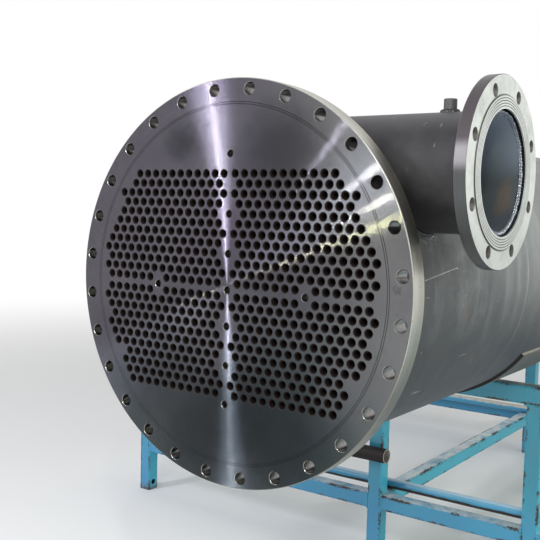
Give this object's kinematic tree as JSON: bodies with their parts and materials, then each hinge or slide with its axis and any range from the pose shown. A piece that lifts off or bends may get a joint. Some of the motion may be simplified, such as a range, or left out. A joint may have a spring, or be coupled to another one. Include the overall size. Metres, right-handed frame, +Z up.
{
  "type": "shell and tube heat exchanger",
  "caption": "Shell and tube heat exchanger with drilled tubesheets and two hillside side nozzles, lying on a square-tube stand.",
  "frame": {"origin": "on the floor under the middle of the stand, half way along the shell", "axes": "+X to the nozzle side, +Y along the shell to the rear tubesheet, +Z up"},
  "size_m": [2.66, 4, 1.3935],
  "materials": {
    "machined_face": "lathe-faced steel with fine turning marks",
    "mill_scale": "dark rolled steel with mill scale",
    "nozzle_steel": "dark brown-grey pipe steel",
    "flange_steel": "bright machined steel",
    "tube_steel": "dull drawn tube",
    "pad_steel": "rolled plate with light rust",
    "blue_paint": "chipped sky-blue paint",
    "brown_pipe": "rusty pipe"
  },
  "bodies": {
    "root": {"front_tubesheet": "machined_face", "rear_tubesheet": "machined_face", "shell": "mill_scale", "upper_tubes": "tube_steel", "lower_tubes": "tube_steel", "tie_rods": "tube_steel", "inlet_pipe": "nozzle_steel", "inlet_flange": "flange_steel", "inlet_vent": "nozzle_steel", "outlet_pipe": "nozzle_steel", "outlet_flange": "flange_steel", "outlet_vent": "nozzle_steel", "front_wear_pad": "pad_steel", "front_post_1": "blue_paint", "front_post_2": "blue_paint", "front_post_3": "blue_paint", "front_post_4": "blue_paint", "front_post_5": "blue_paint", "front_post_6": "blue_paint", "front_lower_rails": "blue_paint", "front_top_beam": "blue_paint", "front_round_rail": "blue_paint", "front_left_stop": "blue_paint", "front_right_stop": "blue_paint", "rear_wear_pad": "pad_steel", "rear_post_1": "blue_paint", "rear_post_2": "blue_paint", "rear_post_3": "blue_paint", "rear_post_4": "blue_paint", "rear_post_5": "blue_paint", "rear_post_6": "blue_paint", "rear_lower_rails": "blue_paint", "rear_top_beam": "blue_paint", "rear_round_rail": "blue_paint", "rear_left_stop": "blue_paint", "rear_right_stop": "blue_paint", "long_rail_1": "blue_paint", "long_rail_3": "blue_paint", "long_rail_4": "blue_paint", "long_rail_6": "blue_paint", "cross_pipe": "brown_pipe"}
  },
  "joints": []
}
